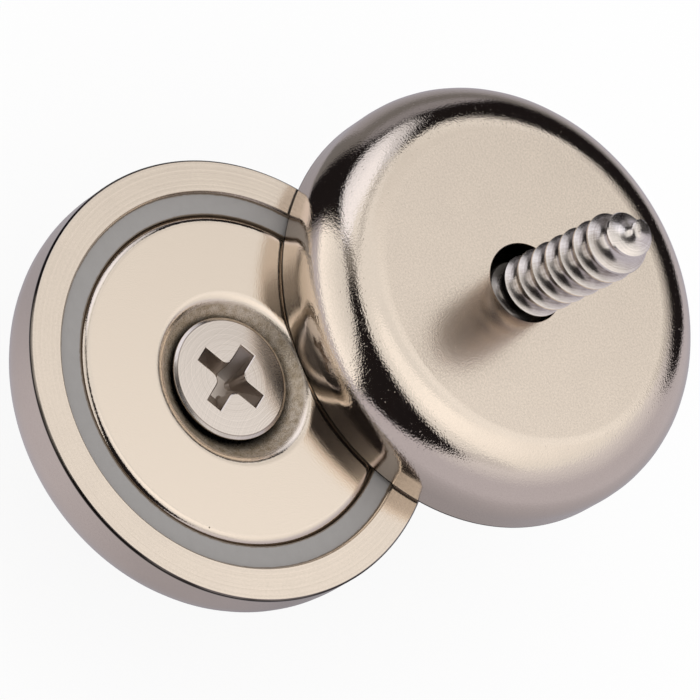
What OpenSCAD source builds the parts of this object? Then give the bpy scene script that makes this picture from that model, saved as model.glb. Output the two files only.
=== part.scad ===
// Pair of countersunk pot magnets, stuck face to face and set off sideways.
// Each magnet: a steel pot, a ring magnet bonded into it, a resin ring that
// fills the gap between them, and a flat-head wood screw through the middle.
// The lower magnet sits on z = 0 with its face up and its screw pointing down.

/* [Pot] */
// Outside diameter of the pot
pot_d = 36; // [33:0.5:44]
// Height of the pot, from its flat back to its rim
pot_h = 7.5; // [7:0.1:10]
// Thickness of the pot's wall, which is the width of its rim
wall_t = 2.7; // [2:0.1:3.5]
// Thickness of the pot's floor
floor_t = 2.3; // [1.6:0.1:2.6]
// Radius of the round shoulder between the pot's back and its wall
shoulder_r = 5.1; // [3:0.1:5.4]
// Chamfer on the outer edge of the rim
rim_outer_chamfer = 0.15; // [0.1:0.05:0.5]
// Chamfer on the inner edge of the rim
rim_inner_chamfer = 0.15; // [0.05:0.05:0.3]
// Chamfer on the edge of the hole in the pot's back
hole_chamfer = 0.1; // [0.05:0.05:0.4]

/* [Resin ring] */
// Width of the resin ring, from the magnet to the pot's wall
resin_w = 1.75; // [1:0.05:2.5]
// Depth of the resin below the rim
resin_sink = 0.3; // [0.2:0.05:0.6]

/* [Ring magnet] */
// Depth of the magnet's face below the rim
magnet_sink = 0.1; // [0.05:0.05:0.3]
// Radius of the magnet's outer edge
magnet_edge_r = 0.8; // [0.2:0.05:1]
// Radius of the soft lip round the countersink
lip_r = 1; // [0.5:0.1:1.8]
// Thickness of the bond under the magnet
bond_t = 0.2; // [0.1:0.05:0.3]

/* [Screw] */
// Length of the screw, from the top of its head to its tip
screw_len = 21.5; // [18:0.5:40]
// Diameter of the screw's head
head_d = 10; // [9:0.1:11]
// Angle of the cone under the head
head_angle = 90; // [84:1:96]
// Height of the straight edge of the head
head_land = 0.4; // [0.2:0.05:0.5]
// Depth of the head's top below the magnet's face
head_sink = 0.5; // [0.4:0.05:0.9]
// Diameter over the thread's crests
thread_d = 5.3; // [4.5:0.1:5.6]
// Diameter at the thread's root
root_d = 4.1; // [3:0.1:4.3]
// Pitch of the thread
thread_pitch = 1.85; // [1.6:0.05:2.4]
// Turn of the thread's start about the screw's axis
thread_turn = 251; // [0:1:359]
// Length of the plain neck under the head's cone
neck_len = 2.6; // [2.5:0.1:3]
// Length of the tapered tip
tip_len = 2.7; // [2:0.1:6]
// Diameter across the cross recess
cross_d = 6.2; // [4.5:0.1:6.4]
// Width of the recess's wings
cross_w = 1.5; // [1:0.05:1.7]
// Depth of the recess
cross_depth = 2.4; // [1.6:0.1:2.5]
// Radius of the corners between the wings
cross_corner_r = 0.6; // [0.2:0.05:0.8]
// Turn of the recess about the screw's axis
cross_turn = 36; // [0:1:89]

/* [Fits] */
// Gap all round between the head's cone and the countersink, when the screw stands in the middle
seat_gap = 0.35; // [0.2:0.01:0.5]
// Gap all round between the thread and the hole in the pot
hole_gap = 0.6; // [0.4:0.05:1]
// How much wider the magnet's bore is than the hole in the pot, on each side
bore_step = 0.2; // [0.1:0.05:0.5]

/* [Pair] */
// Distance between the axes of the two magnets
pair_offset = 24; // [20:0.5:30]
// Way that the lower screw stands off the middle of its hole, from the X axis towards the Y axis
stray_turn = 194; // [0:1:359]
// Gap that this leaves between its head's cone and the countersink
stray_gap = 0.17; // [0.05:0.01:0.2]
// Way that the upper screw leans in its loose hole, from the X axis towards the Y axis
lean_turn = 38; // [0:1:359]
// Gap that the lean leaves between its thread and the edge of the hole
lean_gap = 0.06; // [0.05:0.01:0.2]

/* [Hidden] */
$fn = 96;

nickel = [0.80, 0.76, 0.69];
steel = [0.74, 0.72, 0.70];
resin_grey = [0.58, 0.57, 0.56];
bond_grey = [0.42, 0.40, 0.37];

// Small reach past a face, so that a cut leaves no skin
over = 1;

// Radii and levels of one magnet, with its back on z = 0
pot_r = pot_d / 2;
cup_r = pot_r - wall_t;
magnet_r = cup_r - resin_w;
hole_r = thread_d / 2 + hole_gap;
bore_r = hole_r + bore_step;
magnet_z = floor_t + bond_t;
face_z = pot_h - magnet_sink;
resin_z = pot_h - resin_sink;

// Countersink, which follows the cone of the head that seats in it
head_r = head_d / 2;
half_angle = head_angle / 2;
head_z = face_z - head_sink;
mouth_r = head_r + (head_sink + head_land) * tan(half_angle) + seat_gap / cos(half_angle);
bore_z = face_z - (mouth_r - bore_r) / tan(half_angle);
lip_x = mouth_r + lip_r * (1 - sin(half_angle)) / cos(half_angle);

// Screw, with depths counted down from the top of its head
crest_r = thread_d / 2;
root_r = root_d / 2;
neck_extra = 0.05;
neck_r = crest_r + neck_extra;
cone_end = head_land + (head_r - neck_r) / tan(half_angle);
neck_end = cone_end + neck_len;
head_edge = 0.15;
cross_floor_r = 0.9;

// How far the lower screw stands off the middle
stray = (seat_gap - stray_gap) / cos(half_angle);

// Lean of the upper screw, about the point where the normals of its seat meet on the axis
seat_r = (head_r + neck_r) / 2;
lean_z = head_z - head_land - (head_r - seat_r) / tan(half_angle) + seat_r * tan(half_angle);
lean = asin((hole_gap - lean_gap) / lean_z);

// Thread: a grid of points, with columns round the axis and rows that climb with the helix
thread_cover = 0.1;
thread_start = neck_end - thread_pitch - thread_cover;
columns = 20;
rows_per_turn = 6;
rows = floor((screw_len - thread_pitch - thread_start) / thread_pitch * rows_per_turn);
tip_share = 0.66;

// The tip draws the thread in to this share of its radius at a depth
function taper(depth) = let (left = screw_len - depth)
    left > tip_len ? 1 : tip_share + (1 - tip_share) * left / tip_len;

// A hollow groove between sharp crests, at a share of one pitch
function groove_r(share) = root_r + (crest_r - root_r) * pow(abs(2 * share - 1), 2);

function thread_point(column, row) = let (
        turn = column / columns,
        angle = thread_turn + 360 * turn,
        depth = thread_start + thread_pitch * (turn + row / rows_per_turn),
        share = row / rows_per_turn - floor(row / rows_per_turn),
        r = groove_r(share) * taper(depth)
    ) [r * cos(angle), -r * sin(angle), -depth];

function grid(column, row) = column * (rows + 1) + row;

// Past the last column the grid comes round to the first, one turn further on
function wrapped(column, row) = column < columns ? grid(column, row) : grid(0, row + rows_per_turn);

module thread() {
    top = columns * (rows + 1);
    tip = top + 1;
    points = [
        for (column = [0:columns - 1]) for (row = [0:rows]) thread_point(column, row),
        [0, 0, -thread_start],
        [0, 0, -screw_len]
    ];
    last = columns - 1;
    sides = [
        for (column = [0:last])
        for (row = [0:rows - 1 - (column == last ? rows_per_turn : 0)])
        each [
            [grid(column, row), grid(column, row + 1), wrapped(column + 1, row)],
            [wrapped(column + 1, row), grid(column, row + 1), wrapped(column + 1, row + 1)]
        ]
    ];
    top_loop = [
        for (column = [0:last]) grid(column, 0),
        for (row = [rows_per_turn:-1:1]) grid(0, row)
    ];
    tip_loop = [
        for (column = [0:last]) grid(column, rows),
        for (row = [rows - 1:-1:rows - rows_per_turn]) grid(last, row)
    ];
    top_fan = [for (i = [0:len(top_loop) - 1]) [top_loop[i], top_loop[(i + 1) % len(top_loop)], top]];
    tip_fan = [for (i = [0:len(tip_loop) - 1]) [tip_loop[(i + 1) % len(tip_loop)], tip_loop[i], tip]];
    polyhedron(points, concat(sides, top_fan, tip_fan));
}

// Four wings that narrow downwards, with round corners between them
module cross_recess() {
    intersection() {
        translate([0, 0, -cross_depth])
        rotate([0, 0, cross_turn])
        linear_extrude(cross_depth + over)
        for (turn = [0, 90, 180, 270]) rotate(turn) {
            translate([-cross_w / 2, 0]) square([cross_w, cross_d]);
            translate([cross_w / 2, cross_w / 2]) difference() {
                square(cross_corner_r);
                translate([cross_corner_r, cross_corner_r]) circle(cross_corner_r);
            }
        }
        rotate_extrude() polygon([
            [0, -cross_depth],
            [cross_floor_r, -cross_depth],
            [cross_d / 2, 0],
            [cross_d / 2, over],
            [0, over]
        ]);
    }
}

module screw() {
    translate([0, 0, head_z]) difference() {
        union() {
            rotate_extrude() polygon([
                [0, 0],
                [head_r - head_edge, 0],
                [head_r, -head_edge],
                [head_r, -head_land],
                [neck_r, -cone_end],
                [neck_r, -neck_end],
                [0, -neck_end]
            ]);
            thread();
        }
        cross_recess();
    }
}

// The part of a disc that lies inside an outline, to round a corner of a section
module sector(centre, r, outline) {
    intersection() {
        translate(centre) circle(r);
        polygon(outline);
    }
}

module pot() {
    shoulder_x = pot_r - shoulder_r;
    rotate_extrude() difference() {
        union() {
            polygon([
                [0, 0],
                [shoulder_x, 0],
                [shoulder_x, shoulder_r],
                [pot_r, shoulder_r],
                [pot_r, pot_h],
                [0, pot_h]
            ]);
            sector([shoulder_x, shoulder_r], shoulder_r, [
                [shoulder_x, 0],
                [pot_r, 0],
                [pot_r, shoulder_r],
                [shoulder_x, shoulder_r]
            ]);
        }
        translate([0, floor_t]) square([cup_r, pot_h]);
        translate([0, -over]) square([hole_r, pot_h]);
        polygon([
            [hole_r, hole_chamfer],
            [hole_r + hole_chamfer, 0],
            [hole_r + hole_chamfer, -over],
            [hole_r, -over]
        ]);
        polygon([
            [cup_r, pot_h - rim_inner_chamfer],
            [cup_r + rim_inner_chamfer, pot_h],
            [cup_r + rim_inner_chamfer, pot_h + over],
            [cup_r, pot_h + over]
        ]);
        polygon([
            [pot_r, pot_h - rim_outer_chamfer],
            [pot_r - rim_outer_chamfer, pot_h],
            [pot_r - rim_outer_chamfer, pot_h + over],
            [pot_r + over, pot_h + over],
            [pot_r + over, pot_h - rim_outer_chamfer]
        ]);
    }
}

module ring_magnet() {
    lip_z = face_z - lip_r;
    lip_end = [lip_x - lip_r * cos(half_angle), lip_z + lip_r * sin(half_angle)];
    edge_x = magnet_r - magnet_edge_r;
    edge_z = face_z - magnet_edge_r;
    rotate_extrude() difference() {
        union() {
            polygon([
                [0, magnet_z],
                [magnet_r, magnet_z],
                [magnet_r, edge_z],
                [edge_x, edge_z],
                [edge_x, face_z],
                [0, face_z]
            ]);
            sector([edge_x, edge_z], magnet_edge_r, [
                [edge_x, edge_z],
                [magnet_r, edge_z],
                [magnet_r, face_z],
                [edge_x, face_z]
            ]);
        }
        polygon([
            [0, magnet_z - over],
            [bore_r, magnet_z - over],
            [bore_r, bore_z],
            [mouth_r, face_z],
            [mouth_r, face_z + over],
            [0, face_z + over]
        ]);
        difference() {
            polygon([
                lip_end,
                [mouth_r, face_z],
                [mouth_r, face_z + over],
                [lip_x, face_z + over],
                [lip_x, face_z]
            ]);
            translate([lip_x, lip_z]) circle(lip_r);
        }
    }
}

module resin_ring() {
    translate([0, 0, floor_t]) rotate_extrude()
        translate([magnet_r, 0]) square([resin_w, resin_z - floor_t]);
}

module bond() {
    translate([0, 0, floor_t]) rotate_extrude()
        translate([bore_r, 0]) square([magnet_r - bore_r, bond_t]);
}

// Moves a screw towards one side of its hole
module straying() {
    translate([stray * cos(stray_turn), stray * sin(stray_turn), 0]) children();
}

// Leans a screw towards one side of its hole
module leaning() {
    translate([0, 0, lean_z])
        rotate(lean, [-sin(lean_turn), -cos(lean_turn), 0])
        translate([0, 0, -lean_z])
        children();
}

// Turns a magnet's piece over and sets it on the lower magnet's face
module on_upper() {
    translate([0, pair_offset, 2 * pot_h]) rotate([180, 0, 0]) children();
}

module lower_pot() color(nickel) pot();
module lower_magnet() color(nickel) ring_magnet();
module lower_resin() color(resin_grey) resin_ring();
module lower_bond() color(bond_grey) bond();
module lower_screw() color(steel) straying() screw();

module upper_pot() color(nickel) on_upper() pot();
module upper_magnet() color(nickel) on_upper() ring_magnet();
module upper_resin() color(resin_grey) on_upper() resin_ring();
module upper_bond() color(bond_grey) on_upper() bond();
module upper_screw() color(steel) on_upper() leaning() screw();

lower_pot();
lower_magnet();
lower_resin();
lower_bond();
lower_screw();
upper_pot();
upper_magnet();
upper_resin();
upper_bond();
upper_screw();
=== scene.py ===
"""Two countersunk pot magnets held face to face by their own pull: finishes, studio and camera."""

import math

import bmesh
import bpy
from mathutils import Matrix, Vector


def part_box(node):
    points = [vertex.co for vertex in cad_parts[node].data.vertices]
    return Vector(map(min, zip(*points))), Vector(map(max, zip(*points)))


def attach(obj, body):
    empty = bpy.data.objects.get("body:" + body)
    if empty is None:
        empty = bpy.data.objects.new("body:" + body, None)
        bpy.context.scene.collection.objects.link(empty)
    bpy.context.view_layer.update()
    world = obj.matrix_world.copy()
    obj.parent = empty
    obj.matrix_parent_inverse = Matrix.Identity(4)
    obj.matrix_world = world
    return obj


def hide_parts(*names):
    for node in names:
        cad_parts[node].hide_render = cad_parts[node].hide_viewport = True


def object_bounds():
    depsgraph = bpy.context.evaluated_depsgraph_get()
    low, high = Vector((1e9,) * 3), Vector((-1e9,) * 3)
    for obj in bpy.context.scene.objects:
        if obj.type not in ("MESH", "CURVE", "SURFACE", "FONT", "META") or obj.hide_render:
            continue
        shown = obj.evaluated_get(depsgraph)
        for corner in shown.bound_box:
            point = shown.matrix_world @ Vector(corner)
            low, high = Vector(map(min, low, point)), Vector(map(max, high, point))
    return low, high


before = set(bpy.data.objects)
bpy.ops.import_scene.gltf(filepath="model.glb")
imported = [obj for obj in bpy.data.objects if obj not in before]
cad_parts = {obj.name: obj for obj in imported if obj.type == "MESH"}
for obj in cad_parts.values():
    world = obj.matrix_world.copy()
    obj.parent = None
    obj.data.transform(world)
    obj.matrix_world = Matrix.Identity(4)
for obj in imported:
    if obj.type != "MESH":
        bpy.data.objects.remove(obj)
cad_low, cad_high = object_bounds()

MM = 0.001

# Sizes that the frame gives, in millimetres: the lower magnet has its back on zero and its face up

pot_low, pot_high = (Vector(corner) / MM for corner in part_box("lower_pot"))
magnet_low, magnet_high = (Vector(corner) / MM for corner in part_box("lower_magnet"))
resin_low, resin_high = (Vector(corner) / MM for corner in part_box("lower_resin"))
screw_low, screw_high = (Vector(corner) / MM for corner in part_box("lower_screw"))
upper_low, upper_high = (Vector(corner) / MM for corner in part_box("upper_pot"))

POT_R = pot_high.x
POT_H = pot_high.z
MAGNET_R = magnet_high.x
MAGNET_Z = magnet_low.z
FACE_Z = magnet_high.z
CUP_R = resin_high.x
FLOOR_T = resin_low.z
RESIN_Z = resin_high.z
HEAD_R = (screw_high.x - screw_low.x) / 2
HEAD_Z = screw_high.z
STRAY = (screw_low + screw_high) / 2
SCREW_LEN = screw_high.z - screw_low.z
PAIR_OFFSET = (upper_low.y + upper_high.y) / 2

# Sizes inside the pieces, in millimetres

SHOULDER_R = 5.1
RIM_OUTER_CHAMFER = 0.15
RIM_INNER_CHAMFER = 0.15
RIM_HAIR = 0.005
HOLE_R = 3.25
HOLE_EDGE_R = 0.12
BORE_R = 3.45
BORE_Z = 4.455
MOUTH_R = 6.68
LIP_R = 1.26
MAGNET_EDGE_R = 0.8
MENISCUS = 0.1
HEAD_LAND = 0.4
HEAD_BEVEL = 0.27
HEAD_BEVEL_DROP = 0.16
HEAD_EDGE_R = 0.03
HEAD_CROWN = 0.08
CROWN_BEND_AT = 0.6 * HEAD_R
CROWN_BEND_DROP = 0.3 * HEAD_CROWN
CROWN_BEND_R = 6
NECK_R = 2.7
NECK_END = 5.3
CREST_R = 2.65
ROOT_R = 1.95
GROOVE_CURVE = 2.2
PITCH = 1.85
THREAD_COVER = 0.1
THREAD_TURN = math.radians(251)
TIP_LEN = 3.2
TIP_CREST = 0.3
TIP_ROOT = 0.05
TIP_CURVE = 0.6
POINT_LEN = 0.25
RUN_OUT = 0.6
CROSS_R = 3.1
CROSS_HALF_W = 0.80
CROSS_CORNER_R = 0.6
CROSS_DEPTH = 2.4
CROSS_TURN = math.radians(36)
CROSS_EDGE = 0.12
CROSS_EDGE_DEPTH = 0.06
EDGE_R = 0.06

# The cross recess below its edge: height, reach of a wing, half its width and radius of an inner corner

CROSS_RINGS = [
    (-0.5, 2.8, 0.62, 0.6),
    (-2.1, 1.3, 0.55, 0.45),
    (-CROSS_DEPTH, 0.9, 0.40, 0.3),
]

# Lean of the upper screw in its loose hole, about the point where the normals of its seat meet on the axis

LEAN_TURN = math.radians(38)
LEAN_GAP = 0.06
SEAT_R = (HEAD_R + NECK_R) / 2
LEAN_Z = HEAD_Z - HEAD_LAND - HEAD_R + 2 * SEAT_R
LEAN = math.asin((HOLE_R - CREST_R - LEAN_GAP) / LEAN_Z)

# Fineness of the meshes

LATHE_SEGMENTS = 288
ARC_STEP = math.radians(7.5)
HOLD = 0.06
WELD = 0.0005 * MM
THREAD_COLUMNS = 96
THREAD_ROWS = 24
CORNER_STEPS = 6
SHARP_FROM = math.radians(22)


# Places of the pieces, which are made about the Z axis


def shift(x, y, z):
    return Matrix.Translation((x * MM, y * MM, z * MM))


def magnet_place(side):
    """Where a magnet goes that is made with its back on zero and its face up."""
    if side == "lower":
        return Matrix.Identity(4)
    return shift(0, PAIR_OFFSET, 2 * POT_H) @ Matrix.Rotation(math.pi, 4, "X")


def screw_place(side):
    """Where a screw goes that is made with the top of its head at zero.

    The lower one stands just off the middle of its hole, and the upper one leans.
    """
    if side == "lower":
        return shift(STRAY.x, STRAY.y, HEAD_Z)
    lean = Matrix.Rotation(LEAN, 4, Vector((-math.sin(LEAN_TURN), -math.cos(LEAN_TURN), 0)))
    return magnet_place(side) @ shift(0, 0, LEAN_Z) @ lean @ shift(0, 0, HEAD_Z - LEAN_Z)


# Outlines of the turned pieces


def rounded_outline(corners):
    """A closed outline through (radius, height, corner radius), with an arc at each corner.

    Each straight stretch keeps a point close to either end, so that it shades flat up to its edges.
    """
    count = len(corners)
    places = [Vector(corner[:2]) for corner in corners]
    sides = [(places[(i + 1) % count] - places[i]).normalized() for i in range(count)]
    openings = [sides[i].angle(-sides[i - 1]) for i in range(count)]
    reaches = [corners[i][2] / math.tan(openings[i] / 2) for i in range(count)]
    starts = [places[i] - sides[i - 1] * reaches[i] for i in range(count)]
    ends = [places[i] + sides[i] * reaches[i] for i in range(count)]
    points = []
    for i in range(count):
        start, end = starts[i], ends[i]
        points.append(start)
        if corners[i][2] > 0:
            inwards = (sides[i] - sides[i - 1]).normalized()
            centre = places[i] + inwards * (corners[i][2] / math.sin(openings[i] / 2))
            turned = (start - centre).angle_signed(end - centre)
            steps = max(2, round(abs(turned) / ARC_STEP))
            for step in range(1, steps):
                points.append(centre + Matrix.Rotation(-turned * step / steps, 2) @ (start - centre))
            points.append(end)
        straight = starts[(i + 1) % count] - end
        hold = straight.normalized() * min(HOLD, straight.length / 3)
        points += [end + hold, end + straight - hold]
    return points


def pot_outline():
    """The steel cup. Its rim stops a hair short, so that two rims face to face don't share a plane."""
    rim_z = POT_H - RIM_HAIR
    return rounded_outline([
        (HOLE_R, 0, HOLE_EDGE_R),
        (POT_R, 0, SHOULDER_R),
        (POT_R, rim_z - RIM_OUTER_CHAMFER, EDGE_R),
        (POT_R - RIM_OUTER_CHAMFER, rim_z, EDGE_R),
        (CUP_R + RIM_INNER_CHAMFER, rim_z, EDGE_R),
        (CUP_R, rim_z - RIM_INNER_CHAMFER, EDGE_R),
        (CUP_R, FLOOR_T, EDGE_R),
        (HOLE_R, FLOOR_T, EDGE_R),
    ])


def magnet_outline():
    """The ring magnet, with a rounded lip round its countersunk hole."""
    return rounded_outline([
        (BORE_R, MAGNET_Z, EDGE_R),
        (MAGNET_R, MAGNET_Z, EDGE_R),
        (MAGNET_R, FACE_Z, MAGNET_EDGE_R),
        (MOUTH_R, FACE_Z, LIP_R),
        (BORE_R, BORE_Z, EDGE_R),
    ])


def resin_outline():
    """The potting between the magnet and the cup's wall, which climbs a little at its edges."""
    return rounded_outline([
        (MAGNET_R, FLOOR_T, EDGE_R),
        (CUP_R, FLOOR_T, EDGE_R),
        (CUP_R, RESIN_Z, 0),
        (CUP_R - MENISCUS, RESIN_Z - MENISCUS / 2, EDGE_R),
        (MAGNET_R + MENISCUS, RESIN_Z - MENISCUS / 2, EDGE_R),
        (MAGNET_R, RESIN_Z, 0),
    ])


def head_outline():
    """A countersunk head and its plain neck, with the top of the head at zero."""
    return rounded_outline([
        (0, -NECK_END, 0),
        (ROOT_R, -NECK_END, 0),
        (NECK_R, RUN_OUT - NECK_END, EDGE_R),
        (NECK_R, -HEAD_LAND - HEAD_R + NECK_R, EDGE_R),
        (HEAD_R, -HEAD_LAND, EDGE_R),
        (HEAD_R, -HEAD_CROWN - HEAD_BEVEL_DROP, EDGE_R),
        (HEAD_R - HEAD_BEVEL, -HEAD_CROWN, HEAD_EDGE_R),
        (CROWN_BEND_AT, -CROWN_BEND_DROP, CROWN_BEND_R),
        (0, 0, 0),
    ])


# Node trees


class Tree:
    """A short way to write nodes: each call adds one, sets or links its inputs and returns an output."""

    def __init__(self, tree):
        self.tree = tree

    def add(self, kind, inputs=(), output=0, **settings):
        node = self.tree.nodes.new(kind)
        for key, value in settings.items():
            setattr(node, key, value)
        for socket, value in dict(inputs).items():
            self.feed(node.inputs[socket], value)
        return node.outputs[output]

    def feed(self, socket, value):
        if isinstance(value, bpy.types.NodeSocket):
            self.tree.links.new(value, socket)
        else:
            socket.default_value = value

    def math(self, operation, *values):
        return self.add("ShaderNodeMath", enumerate(values), operation=operation)

    def split(self, vector):
        return self.add("ShaderNodeSeparateXYZ", {0: vector}).node.outputs


class GeometryTree(Tree):
    """A Geometry Nodes tree with named sizes as its inputs."""

    def __init__(self, name, sizes):
        super().__init__(bpy.data.node_groups.new(name, "GeometryNodeTree"))
        face = self.tree.interface
        face.new_socket("Geometry", in_out="INPUT", socket_type="NodeSocketGeometry")
        for size, kind in sizes.items():
            face.new_socket(size, in_out="INPUT", socket_type=kind)
        face.new_socket("Material", in_out="INPUT", socket_type="NodeSocketMaterial")
        face.new_socket("Geometry", in_out="OUTPUT", socket_type="NodeSocketGeometry")
        self.given = self.tree.nodes.new("NodeGroupInput").outputs

    def finish(self, grid, x, y, z):
        """Moves a grid's points to their places, welds its seam and gives it its material."""
        place = self.add("ShaderNodeCombineXYZ", {"X": x, "Y": y, "Z": z})
        moved = self.add("GeometryNodeSetPosition", {"Geometry": grid, "Position": place})
        welded = self.add("GeometryNodeMergeByDistance", {"Geometry": moved, "Distance": WELD})
        smooth = self.add("GeometryNodeSetShadeSmooth", {"Geometry": welded})
        real = self.add("GeometryNodeRealizeInstances", {"Geometry": smooth})
        values = {"Geometry": real, "Material": self.given["Material"]}
        finished = self.add("GeometryNodeSetMaterial", values)
        self.tree.links.new(finished, self.tree.nodes.new("NodeGroupOutput").inputs["Geometry"])
        return self.tree


def lathe_tree():
    """Turns an outline, given as a loop of points in the XZ plane, once round the Z axis."""
    t = GeometryTree("lathe", {"Segments": "NodeSocketInt"})
    outline = t.given["Geometry"]
    segments = t.given["Segments"]
    points = t.add("GeometryNodeAttributeDomainSize", {"Geometry": outline}, component="MESH")
    rows = t.math("ADD", points, 1)
    grid = t.add("GeometryNodeMeshGrid", {"Vertices X": t.math("ADD", segments, 1), "Vertices Y": rows})
    index = t.add("GeometryNodeInputIndex")
    column = t.math("FLOOR", t.math("DIVIDE", index, rows))
    point = t.math("MODULO", t.math("MODULO", index, rows), points)
    values = {"Geometry": outline, "Value": t.add("GeometryNodeInputPosition"), "Index": point}
    place = t.split(t.add("GeometryNodeSampleIndex", values, data_type="FLOAT_VECTOR"))
    angle = t.math("MULTIPLY", t.math("DIVIDE", column, segments), math.tau)
    x = t.math("MULTIPLY", place["X"], t.math("COSINE", angle))
    y = t.math("MULTIPLY", place["X"], t.math("SINE", angle))
    return t.finish(grid, x, y, place["Z"])


def thread_tree():
    """A wood screw's thread down the Z axis: hollow grooves and narrow crests, drawn in to a blunt tip.

    The grid's rows climb along the helix, so that one row follows the crest all the way. Its first row is
    gathered on the axis and closes the top, and the rows past the tip are gathered in one point.
    """
    sizes = ["Start", "Start turn", "Length", "Pitch", "Crest radius", "Root radius"]
    sizes += ["Tip length", "Tip crest", "Tip root", "Point length"]
    t = GeometryTree("thread", {size: "NodeSocketFloat" for size in sizes})
    start, start_turn, length, pitch, crest, root = (t.given[size] for size in sizes[:6])
    tip_len, tip_crest, tip_root, point_len = (t.given[size] for size in sizes[6:])
    threaded = t.math("SUBTRACT", length, start)
    turns = t.math("ADD", t.math("CEIL", t.math("DIVIDE", threaded, pitch)), 1)
    rows = t.math("ADD", t.math("MULTIPLY", turns, THREAD_ROWS), 1)
    grid = t.add("GeometryNodeMeshGrid", {"Vertices X": THREAD_COLUMNS + 1, "Vertices Y": rows})
    index = t.add("GeometryNodeInputIndex")
    row = t.math("MODULO", index, rows)
    turn = t.math("DIVIDE", t.math("FLOOR", t.math("DIVIDE", index, rows)), THREAD_COLUMNS)
    pitches = t.math("DIVIDE", row, THREAD_ROWS)
    climbed = t.math("MAXIMUM", t.math("SUBTRACT", t.math("ADD", turn, pitches), 1), 0)
    depth = t.math("MINIMUM", t.math("MULTIPLY_ADD", climbed, pitch, start), length)

    across = t.math("MULTIPLY", t.math("FRACT", pitches), 2)
    from_groove = t.math("ABSOLUTE", t.math("SUBTRACT", across, 1))
    crest_edge = 1 - 2 / THREAD_ROWS
    up_flank = t.math("MINIMUM", t.math("DIVIDE", from_groove, crest_edge), 1)
    rise = t.math("POWER", up_flank, GROOVE_CURVE)
    rise = t.math("MULTIPLY", rise, t.math("MINIMUM", climbed, 1))
    left = t.math("SUBTRACT", length, depth)
    tip = t.math("POWER", t.math("MINIMUM", t.math("DIVIDE", left, tip_len), 1), TIP_CURVE)
    crest_share = t.math("MULTIPLY_ADD", tip, t.math("SUBTRACT", 1, tip_crest), tip_crest)
    root_share = t.math("MULTIPLY_ADD", tip, t.math("SUBTRACT", 1, tip_root), tip_root)
    crest = t.math("MULTIPLY", crest, crest_share)
    root = t.math("MULTIPLY", root, root_share)
    radius = t.math("MULTIPLY_ADD", rise, t.math("SUBTRACT", crest, root), root)
    point = t.math("SQRT", t.math("MINIMUM", t.math("DIVIDE", left, point_len), 1))
    drawn = t.math("MULTIPLY", radius, t.math("MULTIPLY", point, t.math("MINIMUM", row, 1)))

    angle = t.math("SUBTRACT", t.math("MULTIPLY", turn, -math.tau), start_turn)
    x = t.math("MULTIPLY", drawn, t.math("COSINE", angle))
    y = t.math("MULTIPLY", drawn, t.math("SINE", angle))
    return t.finish(grid, x, y, t.math("MULTIPLY", depth, -1))


def grown(name, tree, sizes, material, outline=()):
    """The plain mesh that a tree makes, round an outline where it needs one, as a new object."""
    mesh = bpy.data.meshes.new(name)
    loop = [(i, (i + 1) % len(outline)) for i in range(len(outline))]
    mesh.from_pydata([(x * MM, 0, z * MM) for x, z in outline], loop, [])
    piece = bpy.data.objects.new(name, mesh)
    bpy.context.scene.collection.objects.link(piece)
    modifier = piece.modifiers.new(name, "NODES")
    modifier.node_group = tree
    values = {**sizes, "Material": material}
    for socket in tree.interface.items_tree:
        if socket.in_out == "INPUT" and socket.name in values:
            modifier[socket.identifier] = values[socket.name]
    bake(piece)
    clean(piece.data)
    return piece


def bake(piece):
    """Turns a piece's modifiers into its mesh."""
    graph = bpy.context.evaluated_depsgraph_get()
    made = bpy.data.meshes.new_from_object(piece.evaluated_get(graph))
    piece.modifiers.clear()
    plain = piece.data
    piece.data = made
    bpy.data.meshes.remove(plain)


def clean(mesh):
    """Takes out faces and edges without area, and points the faces outwards."""
    work = bmesh.new()
    work.from_mesh(mesh)
    bmesh.ops.dissolve_degenerate(work, edges=work.edges, dist=WELD / 10)
    loose = [edge for edge in work.edges if not edge.link_faces]
    bmesh.ops.delete(work, geom=loose, context="EDGES")
    alone = [point for point in work.verts if not point.link_faces]
    bmesh.ops.delete(work, geom=alone, context="VERTS")
    bmesh.ops.recalc_face_normals(work, faces=work.faces)
    work.to_mesh(mesh)
    work.free()


# Materials


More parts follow.
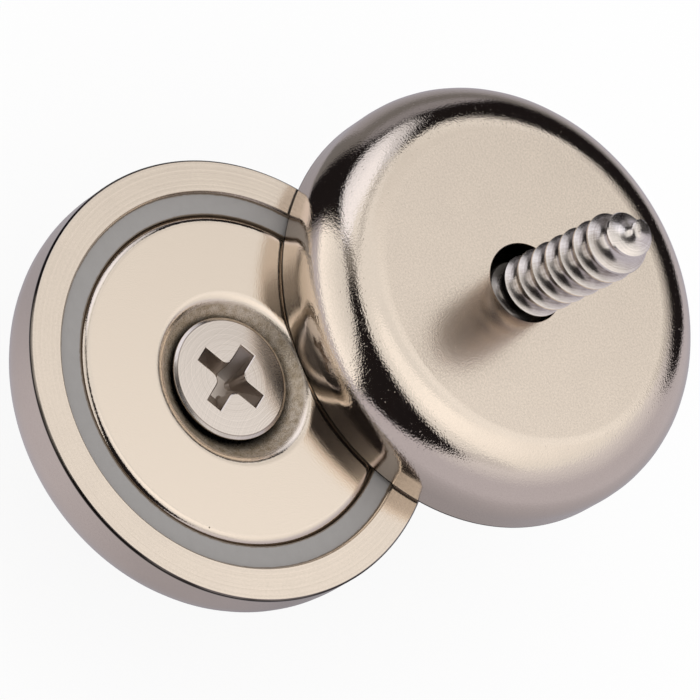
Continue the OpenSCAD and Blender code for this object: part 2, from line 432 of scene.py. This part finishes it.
class Finish(Tree):
    """A material's nodes, in millimetres on the piece as it is made, before it goes to its place."""

    def __init__(self, name, place=Matrix.Identity(4)):
        self.material = bpy.data.materials.new(name)
        self.material.use_nodes = True
        super().__init__(self.material.node_tree)
        self.shader = self.tree.nodes["Principled BSDF"]
        back = place.inverted()
        self.place = self.add("ShaderNodeMapping", {
            "Vector": self.add("ShaderNodeTexCoord", output="Object"),
            "Location": back.to_translation() / MM,
            "Rotation": back.to_euler(),
            "Scale": Vector((1, 1, 1)) / MM,
        })
        self.x, self.y, self.z = self.split(self.place)
        self.radius = self.from_axis(0, 0)

    def put(self, socket, value):
        self.feed(self.shader.inputs[socket], value)

    def from_axis(self, x, y):
        """Distance from a line along Z through a point."""
        across = self.math("SUBTRACT", self.x, x)
        along = self.math("SUBTRACT", self.y, y)
        square = self.math("MULTIPLY", across, across)
        return self.math("SQRT", self.math("MULTIPLY_ADD", along, along, square))

    def spread(self, value, low, high, to_low, to_high):
        """A value between two limits, moved to lie between two others."""
        values = {"Value": value, "From Min": low, "From Max": high, "To Min": to_low, "To Max": to_high}
        return self.add("ShaderNodeMapRange", values)

    def past(self, value, limit, fade):
        """0 up to a limit, and 1 from a fade past it."""
        return self.spread(value, limit, limit + fade, 0, 1)

    def short_of(self, value, limit, fade):
        """1 up to a limit, and 0 from a fade past it."""
        return self.spread(value, limit, limit + fade, 1, 0)

    def both(self, first, second):
        return self.math("MULTIPLY", first, second)

    def either(self, first, second):
        return self.math("MAXIMUM", first, second)

    def more(self, value, amount, base):
        """A base, and this amount more where the value is 1."""
        return self.math("MULTIPLY_ADD", value, amount, base)

    def noise(self, size, detail=2.0, place=None):
        """Noise from 0 to 1 with grains of about this size."""
        values = {"Vector": place or self.place, "Scale": 1 / size, "Detail": detail}
        return self.add("ShaderNodeTexNoise", values)

    def lines(self, distance, size, detail=3.0):
        """Noise that changes only with a distance, which draws fine lines along all else."""
        return self.noise(size, detail, self.add("ShaderNodeCombineXYZ", {"X": distance}))

    def specks(self, size, spacing, share):
        """Small round marks of about this size, in this share of the cells of a loose lattice."""
        cells = self.add("ShaderNodeTexVoronoi", {"Vector": self.place, "Scale": 1 / spacing}).node.outputs
        chosen = self.math("LESS_THAN", self.split(cells["Color"])["X"], share)
        inside = self.spread(cells["Distance"], 0.5 * size / spacing, 0.3 * size / spacing, 0, 1)
        return self.both(chosen, inside)

    def mix(self, factor, first, second):
        """From one colour to another as the factor goes from 0 to 1."""
        node = self.tree.nodes.new("ShaderNodeMix")
        node.data_type = "RGBA"
        factors = [socket for socket in node.inputs if socket.name == "Factor" and socket.type == "VALUE"]
        colours = [socket for socket in node.inputs if socket.type == "RGBA"]
        for socket, value in zip([factors[0], *colours], (factor, first, second)):
            self.feed(socket, value)
        return next(socket for socket in node.outputs if socket.type == "RGBA")

    def bump(self, height, depth, over=None):
        """Relief of about this depth, on top of other relief."""
        values = {"Height": height, "Distance": depth * MM, "Strength": 1.0}
        if over:
            values["Normal"] = over
        return self.add("ShaderNodeBump", values)

    def grainy(self, grain, amount, base):
        """A base that goes up and down with a grain, by this amount in all."""
        return self.more(self.math("SUBTRACT", grain, 0.5), amount, base)


# Colours of the finishes

NICKEL = (0.745, 0.646, 0.546, 1)
NICKEL_DULL = (0.647, 0.562, 0.478, 1)
NICKEL_BROWN = (0.37, 0.29, 0.20, 1)
DARK_SPECK = (0.10, 0.08, 0.06, 1)
# Painted shade for the insides of holes and deep crevices
HOLE_DARK = (0.03, 0.025, 0.02, 1)
STEEL = (0.70, 0.628, 0.568, 1)
# Painted light: the thread's steel, lighter than the head's
STEEL_BRIGHT = (0.84, 0.77, 0.71, 1)
# Painted shade in the thread's grooves, and the colour of grind marks and the bevel line
STEEL_SHADE_AND_MARKS = (0.31, 0.26, 0.225, 1)
# Painted shade in the screw's cross recess
RECESS_DARK = (0.52, 0.46, 0.41, 1)
RESIN = (0.288, 0.272, 0.262, 1)
RESIN_PALE = (0.322, 0.305, 0.295, 1)
RESIN_EDGE = (0.16, 0.12, 0.085, 1)
BOND = (0.16, 0.15, 0.13, 1)
BOND_PALE = (0.22, 0.20, 0.17, 1)

# Roughness of the finishes, from 0 for a mirror to 1 for chalk

SHOULDER_ROUGH = 0.08
WALL_ROUGH = 0.18
BACK_ROUGHER = 0.12
RIM_ROUGHER = -0.02
FACE_ROUGH = 0.11
COUNTERSINK_ROUGHER = 0.17
HEAD_ROUGH = 0.16
RECESS_ROUGHER = 0.18
THREAD_ROUGHER = 0.06
RESIN_ROUGH = 0.5
BOND_ROUGH = 0.5

# Places of the finishes, in millimetres

RIM_LINE_DROP = 0.19
COUNTERSINK_STAIN_INSET = 0.48
COUNTERSINK_DARK_AT = 1.8
RESIN_LINE = 0.12
HEAD_LINE = 0.03
GRIND_AXIS = (9, 4)
LIT_IN_HOLE = 1.2


def pot_nickel(name, place):
    """Nickel plate on the pot: satin on its back, bright on its shoulder and wall, turned on its rim, with
    painted shade inside its hole and in a thin line round its rim.
    """
    m = Finish(name, place)
    back = m.short_of(m.radius, POT_R - SHOULDER_R - 0.3, fade=0.9)
    rim = m.past(m.z, POT_H - 0.06, fade=0.03)
    grain = m.noise(size=0.16)
    turned = m.both(m.lines(m.radius, size=0.22, detail=4.0), rim)

    grey = m.both(m.spread(grain, 0.36, 0.64, 0, 1), m.spread(back, 0, 1, 0.25, 0.8))
    grey = m.math("ADD", grey, m.spread(m.noise(size=3), 0.3, 0.7, 0, 0.2))
    grey = m.math("ADD", grey, m.spread(turned, 0.35, 0.65, 0, 0.5))
    speck = m.specks(size=0.12, spacing=2.2, share=0.12)
    plate = m.mix(speck, m.mix(grey, NICKEL, NICKEL_DULL), DARK_SPECK)
    # Painted shade: the inside of the hole and the thin line round the rim are darkened to the hole's dark
    # colour
    dark = m.either(m.short_of(m.radius, HOLE_R + 0.02, fade=0.06), rim_line(m))
    m.put("Base Color", m.mix(dark, plate, HOLE_DARK))
    m.put("Metallic", 1.0)

    wall = m.spread(m.z, SHOULDER_R - 0.5, SHOULDER_R + 0.5, SHOULDER_ROUGH, WALL_ROUGH)
    satin = m.more(back, BACK_ROUGHER, m.more(rim, RIM_ROUGHER, wall))
    m.put("Roughness", m.grainy(grain, 0.10, satin))

    curved = m.spread(m.z, SHOULDER_R, SHOULDER_R - 1.5, 0.25, 1)
    rough = m.both(curved, m.spread(back, 0, 1, 1, 0.3))
    relief = m.bump(m.noise(size=0.6), depth=0.003)
    relief = m.bump(m.both(grain, rough), depth=0.014, over=relief)
    pits = m.both(m.specks(size=0.15, spacing=0.34, share=0.3), rough)
    relief = m.bump(pits, depth=-0.0055, over=relief)
    m.put("Normal", m.bump(turned, depth=0.02, over=relief))
    return m.material


def rim_line(m):
    """A thin line of painted shade round a pot's rim: broken up by noise on the outer chamfer, and whole
    just below it.
    """
    chamfer_r = POT_R - RIM_OUTER_CHAMFER
    chamfer_z = POT_H - RIM_OUTER_CHAMFER
    out_to_chamfer = m.past(m.radius, chamfer_r - 0.01, fade=0.06)
    up_to_chamfer = m.past(m.z, chamfer_z - 0.05, fade=0.05)
    on_wall = m.past(m.radius, POT_R - 0.06, fade=0.03)
    up_to_line = m.past(m.z, chamfer_z - RIM_LINE_DROP, fade=0.08)
    # Noise that breaks up the painted shade
    shade_mottle = m.spread(m.noise(size=5), 0.4, 0.6, 0.75, 1)
    chamfer = m.both(out_to_chamfer, up_to_chamfer)
    return m.either(m.both(chamfer, shade_mottle), m.both(on_wall, up_to_line))


def magnet_nickel(name, place):
    """Nickel plate on the ring magnet: smooth on its face, brown and rough in its countersink, with
    painted shade deep in it.
    """
    m = Finish(name, place)
    grain = m.noise(size=0.13, detail=3.0)
    inside = m.short_of(m.radius, MOUTH_R - COUNTERSINK_STAIN_INSET, fade=0.3)
    # Painted shade deep in the countersink, where the plate is darkened to the hole's dark colour
    deep = m.short_of(m.z, FACE_Z - COUNTERSINK_DARK_AT, fade=0.9)
    deep = m.both(deep, m.math("LESS_THAN", m.radius, MOUTH_R))

    stain = m.spread(m.noise(size=0.5, detail=4.0), 0.35, 0.65, 0.55, 1)
    speck = m.specks(size=0.16, spacing=2.6, share=0.12)
    plate = m.mix(m.spread(grain, 0.3, 0.7, 0, 0.2), NICKEL, NICKEL_DULL)
    plate = m.mix(m.both(inside, stain), plate, NICKEL_BROWN)
    plate = m.mix(speck, plate, DARK_SPECK)
    m.put("Base Color", m.mix(deep, plate, HOLE_DARK))
    m.put("Metallic", m.spread(inside, 0, 1, 1, 0.55))

    m.put("Roughness", m.grainy(grain, 0.08, m.more(inside, COUNTERSINK_ROUGHER, FACE_ROUGH)))
    m.put("Normal", m.bump(m.both(grain, m.spread(inside, 0, 1, 1, 5)), depth=0.008))
    return m.material


def grey_resin(name, place):
    """Potting resin: matt grey, with a thin ragged brown line where it meets the metal."""
    m = Finish(name, place)
    mottle = m.noise(size=0.9, detail=3.0)
    reach = m.grainy(m.noise(size=0.35), RESIN_LINE, m.radius)
    inner = m.short_of(reach, MAGNET_R + RESIN_LINE / 2, fade=RESIN_LINE / 2)
    outer = m.past(reach, CUP_R - RESIN_LINE, fade=RESIN_LINE / 2)
    m.put("Base Color", m.mix(m.either(inner, outer), m.mix(mottle, RESIN, RESIN_PALE), RESIN_EDGE))
    m.put("Roughness", RESIN_ROUGH)
    m.put("Normal", m.bump(mottle, depth=0.02))
    return m.material


def bright_steel(name, place):
    """The screw's steel: fine arcs on its bright head, painted shade in its cross recess, deep in the hole
    and in the grooves of its thread, and a thread painted lighter than the head.
    """
    m = Finish(name, place)
    thread = m.spread(m.z, -NECK_END, -HEAD_LAND, 1, 0)
    recess = in_recess(m)
    sunk = in_hole(m)
    grain = m.noise(size=0.14, detail=3.0)
    arcs = m.math("ADD", m.lines(m.from_axis(*GRIND_AXIS), size=0.10), m.lines(m.radius, size=0.12))

    # Painted shade in the thread's grooves, mottled by noise, together with darker grind arcs and a thin
    # darker line at the inner edge of the head's bevel
    hollow = m.spread(m.radius, ROOT_R, CREST_R, 1, 0)
    hollow = m.both(hollow, m.past(m.z, TIP_LEN - SCREW_LEN - 1, fade=1))
    shade_mottle = m.spread(m.noise(size=0.7), 0.35, 0.65, 0.6, 1)
    shade_and_marks = m.both(m.both(thread, hollow), shade_mottle)
    shade_and_marks = m.math("ADD", shade_and_marks, m.spread(arcs, 0.8, 1.2, 0, 0.3))
    from_bevel = m.math("ABSOLUTE", m.math("SUBTRACT", m.radius, HEAD_R - HEAD_BEVEL))
    shade_and_marks = m.math("ADD", shade_and_marks, m.spread(from_bevel, HEAD_LINE, 2 * HEAD_LINE, 0.8, 0))
    # Painted light: the thread takes a lighter copy of the head's steel, which the painted shade and marks
    # then darken
    metal = m.mix(shade_and_marks, m.mix(thread, STEEL, STEEL_BRIGHT), STEEL_SHADE_AND_MARKS)
    # Painted shade: the cross recess is darkened
    metal = m.mix(recess, metal, RECESS_DARK)
    # Painted shade: deep in the hole the steel is painted dark and loses its shine
    m.put("Base Color", m.mix(sunk, metal, HOLE_DARK))
    m.put("Metallic", m.spread(sunk, 0, 1, 1, 0))
    m.put("Specular IOR Level", m.spread(sunk, 0, 1, 0.5, 0))

    satin = m.more(thread, THREAD_ROUGHER, m.more(recess, RECESS_ROUGHER, HEAD_ROUGH))
    m.put("Roughness", m.math("ADD", satin, m.spread(grain, 0.25, 0.75, 0, 0.05)))
    relief = m.bump(arcs, depth=0.004)
    relief = m.bump(m.both(m.noise(size=0.5), thread), depth=0.008, over=relief)
    m.put("Normal", m.bump(grain, depth=0.002, over=relief))
    return m.material


def in_recess(m):
    """1 on the walls and floor of a head's cross recess."""
    below_top = m.spread(m.z, -0.3, -1.2 * CROSS_EDGE_DEPTH, 1, 0)
    above_floor = m.math("GREATER_THAN", m.z, -(CROSS_DEPTH + 0.1))
    within = m.both(below_top, m.math("LESS_THAN", m.radius, CROSS_R))
    return m.both(within, above_floor)


def in_hole(m):
    """1 on the underside of a screw's head, its neck and its thread, deep in the hole where it is dark."""
    from_back = m.math("ADD", m.z, HEAD_Z)
    below_land = m.math("LESS_THAN", m.z, -(HEAD_LAND + 0.2))
    outside = m.math("GREATER_THAN", m.math("SUBTRACT", m.radius, m.z), HEAD_R - 0.5)
    return m.both(m.past(from_back, LIT_IN_HOLE, fade=1), m.both(below_land, outside))


def cured_bond(name, place):
    """Adhesive under the magnet: a mottled brown."""
    m = Finish(name, place)
    mottle = m.noise(size=1)
    m.put("Base Color", m.mix(mottle, BOND, BOND_PALE))
    m.put("Roughness", BOND_ROUGH)
    m.put("Normal", m.bump(mottle, depth=0.03))
    return m.material


# Wood screws


def cross_outline(length, half_width, corner_r):
    """A cross with rounded inner corners, as points round the origin."""
    points = []
    centre = Vector((half_width + corner_r, half_width + corner_r))
    for quarter in range(4):
        turn = Matrix.Rotation(CROSS_TURN + quarter * math.pi / 2, 2)
        points += [turn @ Vector((length, -half_width)), turn @ Vector((length, half_width))]
        for step in range(CORNER_STEPS + 1):
            angle = -math.pi / 2 * (1 + step / CORNER_STEPS)
            points.append(turn @ (centre + corner_r * Vector((math.cos(angle), math.sin(angle)))))
    return points


def cross_cutter(name, material):
    """The solid that a cross recess takes out of a head: its wings' floors slope down to the middle."""
    rings = [
        (CROSS_EDGE_DEPTH, CROSS_R + CROSS_EDGE, CROSS_HALF_W + CROSS_EDGE, CROSS_CORNER_R - CROSS_EDGE),
        (-CROSS_EDGE_DEPTH, CROSS_R - CROSS_EDGE, CROSS_HALF_W - CROSS_EDGE, CROSS_CORNER_R + CROSS_EDGE),
        *CROSS_RINGS,
    ]
    work = bmesh.new()
    made = []
    for z, length, half_width, corner_r in rings:
        outline = cross_outline(length, half_width, corner_r)
        made.append([work.verts.new((p.x * MM, p.y * MM, z * MM)) for p in outline])
    for upper, lower in zip(made, made[1:]):
        for i in range(len(upper)):
            work.faces.new((upper[i - 1], upper[i], lower[i], lower[i - 1]))
    work.faces.new(made[0])
    work.faces.new(made[-1])
    bmesh.ops.recalc_face_normals(work, faces=work.faces)
    mesh = bpy.data.meshes.new(name)
    work.to_mesh(mesh)
    work.free()
    mesh.materials.append(material)
    cutter = bpy.data.objects.new(name, mesh)
    bpy.context.scene.collection.objects.link(cutter)
    return cutter


def combine(piece, other, operation):
    """Joins another solid to a piece or cuts it out, and removes the other."""
    modifier = piece.modifiers.new(operation, "BOOLEAN")
    modifier.operation = operation
    modifier.solver = "EXACT"
    modifier.object = other
    bake(piece)
    bpy.data.objects.remove(other)


def wood_screw(name, material, lathe, thread):
    """A flat-head wood screw, with the top of its head at zero and its tip down."""
    screw = grown(name, lathe, {"Segments": LATHE_SEGMENTS // 2}, material, head_outline())
    sizes = {
        "Start": (NECK_END - 2 * PITCH - THREAD_COVER) * MM,
        "Start turn": THREAD_TURN,
        "Length": SCREW_LEN * MM,
        "Pitch": PITCH * MM,
        "Crest radius": CREST_R * MM,
        "Root radius": ROOT_R * MM,
        "Tip length": TIP_LEN * MM,
        "Tip crest": TIP_CREST,
        "Tip root": TIP_ROOT,
        "Point length": POINT_LEN * MM,
    }
    combine(screw, grown(f"{name}_thread", thread, sizes, material), "UNION")
    combine(screw, cross_cutter(f"{name}_cross", material), "DIFFERENCE")
    clean(screw.data)
    screw.data.shade_smooth()
    screw.data.set_sharp_from_angle(angle=SHARP_FROM)
    return screw


# Magnets


def dress(piece, place, node, body):
    """Sets a finished piece in the place of a node."""
    piece.data.transform(place)
    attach(piece, body)
    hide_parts(node)


def dress_magnet(side, lathe, thread):
    """Makes the pieces of one magnet and its screw. Its bond, which is hidden, only gets a material."""
    place = magnet_place(side)
    turned = {"Segments": LATHE_SEGMENTS}
    nickel = pot_nickel(f"{side} pot nickel", place)
    pot = grown(f"{side}_pot_plated", lathe, turned, nickel, pot_outline())
    dress(pot, place, f"{side}_pot", side)
    face = magnet_nickel(f"{side} magnet nickel", place)
    magnet = grown(f"{side}_magnet_plated", lathe, turned, face, magnet_outline())
    dress(magnet, place, f"{side}_magnet", side)
    resin = grey_resin(f"{side} grey resin", place)
    fill = grown(f"{side}_resin_fill", lathe, turned, resin, resin_outline())
    dress(fill, place, f"{side}_resin", side)
    steel = bright_steel(f"{side} bright steel", screw_place(side))
    screw = wood_screw(f"{side}_wood_screw", steel, lathe, thread)
    dress(screw, screw_place(side), f"{side}_screw", f"{side}_screw")
    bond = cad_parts[f"{side}_bond"].data
    bond.materials.clear()
    bond.materials.append(cured_bond(f"{side} cured bond", place))


# Camera


CAMERA_AZIMUTH = 13.47
CAMERA_ELEVATION = 53.18
CAMERA_ROLL = 58.14
CAMERA_TARGET = Vector((1.11, 7.32, 12.64)) * MM
CAMERA_DISTANCE = 434 * MM
CAMERA_LENS = 288
CAMERA_SENSOR = 36
CAMERA_NEAR = 10 * MM


def towards(azimuth, elevation):
    """Direction to a place round the object in degrees: azimuth 0 is at -Y and 90 at +X."""
    azimuth, elevation = math.radians(azimuth), math.radians(elevation)
    level = math.cos(elevation)
    return Vector((math.sin(azimuth) * level, -math.cos(azimuth) * level, math.sin(elevation)))


def make_camera():
    data = bpy.data.cameras.new("camera")
    data.sensor_width = CAMERA_SENSOR
    data.lens = CAMERA_LENS
    data.clip_start = CAMERA_NEAR
    camera = bpy.data.objects.new("camera", data)
    bpy.context.scene.collection.objects.link(camera)
    back = towards(CAMERA_AZIMUTH, CAMERA_ELEVATION)
    roll = Matrix.Rotation(math.radians(CAMERA_ROLL), 3, "Z").to_quaternion()
    camera.rotation_mode = "QUATERNION"
    camera.rotation_quaternion = back.to_track_quat("Z", "Y") @ roll
    camera.location = CAMERA_TARGET + back * CAMERA_DISTANCE
    bpy.context.scene.camera = camera


# Studio: a white dome and floor, with cards and soft boxes that show in the metal, in millimetres


FLOOR_REACH = 3000
FLOOR_GLOW = 0.86
FLOOR_ROUGH = 0.9
GROUND_REACH = 2000
GROUND_LIFT = 0.1
GROUND_MIDDLE = (8, 20)
GROUND_LIT = (0, -34)
CARD_COLUMNS = 24
CARD_STEPS = 8
BACK_DISTANCE = 300
BACK_MIDDLE = (-40, 178)
BACK_ACROSS = (0.82, -0.57)
BACK_HALF_W = 30
BOX_DISTANCE = 600
DARK_DISTANCE = 690

# Colours of the studio

WHITE = (1, 1, 1, 1)
FLOOR_WHITE = (0.97, 0.97, 0.97, 1)
NO_COLOUR = (0, 0, 0, 1)
BLACK = (0.013, 0.011, 0.012, 1)
SEAM_GREY = (0.36, 0.35, 0.35, 1)
FRONT_DIM = (0.27, 0.26, 0.25, 1)
BACK_LOW = (0.88, 0.87, 0.86, 1)
BACK_HIGH = (1.16, 1.155, 1.15, 1)
BACK_DARK = (0.06, 0.055, 0.055, 1)
BACK_PALE = (0.86, 0.85, 0.84, 1)
LEFT_GREY = (0.30, 0.295, 0.33, 1)
RIGHT_GREY = (0.60, 0.585, 0.66, 1)
RIGHT_PALE = (0.86, 0.85, 0.90, 1)
RIGHT_TOP = (0.72, 0.71, 0.74, 1)
FRONT_WHITE = (1.27, 1.26, 1.26, 1)
FRONT_PALE = (0.84, 0.84, 0.84, 1)
LEFT_PALE = (0.92, 0.95, 1.06, 1)
LEFT_WHITE = (1.22, 1.25, 1.38, 1)
LEFT_EDGE = (0.80, 0.82, 0.90, 1)
TOP_PALE = (1.0, 0.99, 0.98, 1)
TOP_WHITE = (1.32, 1.30, 1.28, 1)
ZENITH = (1.25, 1.24, 1.23, 1)
# The ground's grey near the object is its painted shadow
GROUND_NEAR = (0.33, 0.32, 0.355, 1)
GROUND_FAR = (0.60, 0.585, 0.66, 1)
GROUND_DARK = (0.20, 0.195, 0.20, 1)


def make_world():
    world = bpy.data.worlds.new("white dome")
    world.use_nodes = True
    world.node_tree.nodes["Background"].inputs["Color"].default_value = WHITE
    bpy.context.scene.world = world


def flat_mesh(name, corners, above_floor=0):
    """A flat card by its corners, at a height above the floor."""
    mesh = bpy.data.meshes.new(name)
    height = cad_low.z + above_floor * MM
    mesh.from_pydata([(x * MM, y * MM, height) for x, y in corners], [], [range(len(corners))])
    return mesh


def square(reach):
    return [(-reach, -reach), (reach, -reach), (reach, reach), (-reach, reach)]


def put_on_stage(name, mesh, material):
    thing = bpy.data.objects.new(name, mesh)
    bpy.context.scene.collection.objects.link(thing)
    mesh.materials.append(material)
    return thing


def make_floor():
    """A white floor that glows wherever it is seen, so that the object's shadow on it stays pale."""
    m = Finish("white floor")
    m.put("Base Color", FLOOR_WHITE)
    m.put("Roughness", FLOOR_ROUGH)
    path = m.add("ShaderNodeLightPath").node.outputs
    seen = m.either(path["Is Camera Ray"], path["Is Glossy Ray"])
    seen = m.either(seen, path["Is Transmission Ray"])
    glow = m.add("ShaderNodeEmission")
    share = m.math("MULTIPLY", seen, FLOOR_GLOW)
    mixed = m.add("ShaderNodeMixShader", {0: share, 1: m.shader.outputs[0], 2: glow})
    m.tree.links.new(mixed, m.tree.nodes["Material Output"].inputs["Surface"])
    put_on_stage("floor", flat_mesh("floor", square(FLOOR_REACH)), m.material)


def card_mesh(name, rows, distance):
    """A curved card round the object, by rows of an elevation and the azimuths of its two edges there."""
    points = []
    for lower, upper in zip(rows, rows[1:]):
        for step in range(CARD_STEPS + 1):
            share = step / CARD_STEPS
            elevation, left, right = (a + (b - a) * share for a, b in zip(lower, upper))
            for column in range(CARD_COLUMNS + 1):
                azimuth = left + (right - left) * column / CARD_COLUMNS
                points.append(towards(azimuth, elevation) * distance * MM)
    faces = []
    width = CARD_COLUMNS + 1
    for line in range(len(points) // width - 1):
        if (line + 1) % (CARD_STEPS + 1):
            for i in range(line * width, line * width + CARD_COLUMNS):
                faces.append((i, i + 1, i + width + 1, i + width))
    mesh = bpy.data.meshes.new(name)
    mesh.from_pydata(points, [], faces)
    return mesh


def make_card(name, mesh, paint):
    """A card that shows only as a reflection, in one colour or as a function paints it."""
    m = Finish(name)
    m.put("Base Color", NO_COLOUR)
    m.put("Specular IOR Level", 0.0)
    m.put("Emission Strength", 1.0)
    m.put("Emission Color", paint(m) if callable(paint) else paint)
    card = put_on_stage(name, mesh, m.material)
    card.visible_camera = False
    card.visible_diffuse = False
    card.visible_shadow = False


def rising(low_colour, high_colour, low, high):
    """Paint that goes from one colour to another between two elevations of a soft box."""
    heights = [BOX_DISTANCE * math.sin(math.radians(elevation)) for elevation in (low, high)]
    return lambda m: m.mix(m.spread(m.z, *heights, 0, 1), low_colour, high_colour)


def ground_paint(m):
    """Grey with a painted shadow of the object, which lightens away from the object and darkens again on
    its far left.
    """
    # Painted shadow: the grey is darkest near the object and lightens away from it
    reach = m.past(m.from_axis(*GROUND_MIDDLE), 20, fade=120)
    open_ground = m.mix(m.math("SQRT", reach), GROUND_NEAR, GROUND_FAR)
    # A lighter patch in front of the lower magnet, where the painted shadow gives way to the open grey
    lit = m.spread(m.from_axis(*GROUND_LIT), 8, 30, 0.9, 0)
    shade = m.both(m.spread(m.x, -22, -100, 0, 1), m.past(m.y, -80, fade=50))
    return m.mix(shade, m.mix(lit, open_ground, GROUND_FAR), GROUND_DARK)


def back_paint(m):
    """White that brightens across the card which the flat faces show, from far left to near right."""
    middle_x, middle_y = BACK_MIDDLE
    across_x, across_y = BACK_ACROSS
    across = m.math("MULTIPLY", m.math("SUBTRACT", m.x, middle_x), across_x)
    across = m.more(m.math("SUBTRACT", m.y, middle_y), across_y, across)
    return m.mix(m.past(across, -BACK_HALF_W, fade=2 * BACK_HALF_W), BACK_LOW, BACK_HIGH)


def make_ground():
    """The grey ground that the metal shows, with two darker stretches on its left, by their corners."""
    ground = flat_mesh("ground card", square(GROUND_REACH), GROUND_LIFT)
    make_card("ground card", ground, ground_paint)
    dark = [(-34, -5), (-38, 12), (-750, 77), (-640, -375)]
    dim = [(-36, 12), (-36, 26), (-750, 130), (-750, 77)]
    for name, corners, colour in (("dark ground", dark, BLACK), ("dim ground", dim, GROUND_DARK)):
        make_card(name, flat_mesh(name, corners, 2 * GROUND_LIFT), colour)


def make_dark_cards():
    """The dark of the studio, which stands behind the soft boxes, by rows in degrees."""
    around = [(-2, -180, 180), (36.5, -180, 180)]
    above_front = [
        (36.5, -134, 78), (43, -131, 76), (44, -62, 75), (49, -58, 69),
        (55, -63, 58), (61, -60, 44), (66, -30, 25),
    ]
    for name, rows in (("dark surround", around), ("dark front", above_front)):
        make_card(name, card_mesh(name, rows, DARK_DISTANCE), BLACK)


def make_boxes():
    """The soft boxes and grey cards that make the bright bands on the metal, by rows in degrees."""
    front = [(-2, -60, 14), (10, -60, 12), (22, -60, 7), (37, -60, -2), (48, -48, -18)]
    left = [(16, -98, -82), (20, -106, -74), (25, -109, -69), (40, -109, -60), (48, -104, -64)]
    left_edge = [(18, -115, -104), (25, -120, -108), (43, -121, -108), (46, -118, -104)]
    low_left = [(-2, -140, -94), (8, -136, -100), (14, -126, -108)]
    right = [
        (-2, 16, 178), (7, 22, 172), (13, 37, 167), (25, 55, 168),
        (31, 60, 174), (37, 71, 180), (42, 77, 180),
    ]
    right_high = [(42, 77, 108), (46, 74, 106), (51, 70, 98)]
    top = [(47, 108, 178), (55, 104, 176), (61, 92, 174), (67, 72, 168), (74, 52, 170), (80, 40, 180)]
    seam = [(47, -122, -114), (51, -113, -105), (55, -104, -95), (59, -92, -80), (62, -78, -60)]
    front_dim = [(45, -64, -46), (52, -64, -44), (60, -64, -46)]
    back = [(29, 176, 197), (47, 176, 197)]
    zenith = [(80, -180, 180), (89, -180, 180)]
    boxes = [
        ("front box", front, rising(FRONT_WHITE, FRONT_PALE, 5, 44)),
        ("left box", left, rising(LEFT_PALE, LEFT_WHITE, 20, 36)),
        ("left box edge", left_edge, LEFT_EDGE),
        ("right card", right, rising(RIGHT_GREY, RIGHT_PALE, 18, 42)),
        ("right card top", right_high, RIGHT_TOP),
        ("left card", low_left, LEFT_GREY),
        ("top box", top, rising(TOP_PALE, TOP_WHITE, 47, 74)),
        ("seam", seam, SEAM_GREY),
        ("dim front", front_dim, FRONT_DIM),
        ("back edge", back, rising(BACK_DARK, BACK_PALE, 29, 47)),
        ("zenith box", zenith, ZENITH),
    ]
    for name, rows, paint in boxes:
        make_card(name, card_mesh(name, rows, BOX_DISTANCE), paint)


def make_back_card():
    """The card that the flat faces show, close behind the object."""
    rows = [(44, -189, -126), (64, -189, -126)]
    make_card("back card", card_mesh("back card", rows, BACK_DISTANCE), back_paint)


bpy.context.scene.view_settings.view_transform = "Standard"
make_camera()
make_world()
make_floor()
make_ground()
make_dark_cards()
make_boxes()
make_back_card()

lathe = lathe_tree()
thread = thread_tree()
for side in ("lower", "upper"):
    dress_magnet(side, lathe, thread)
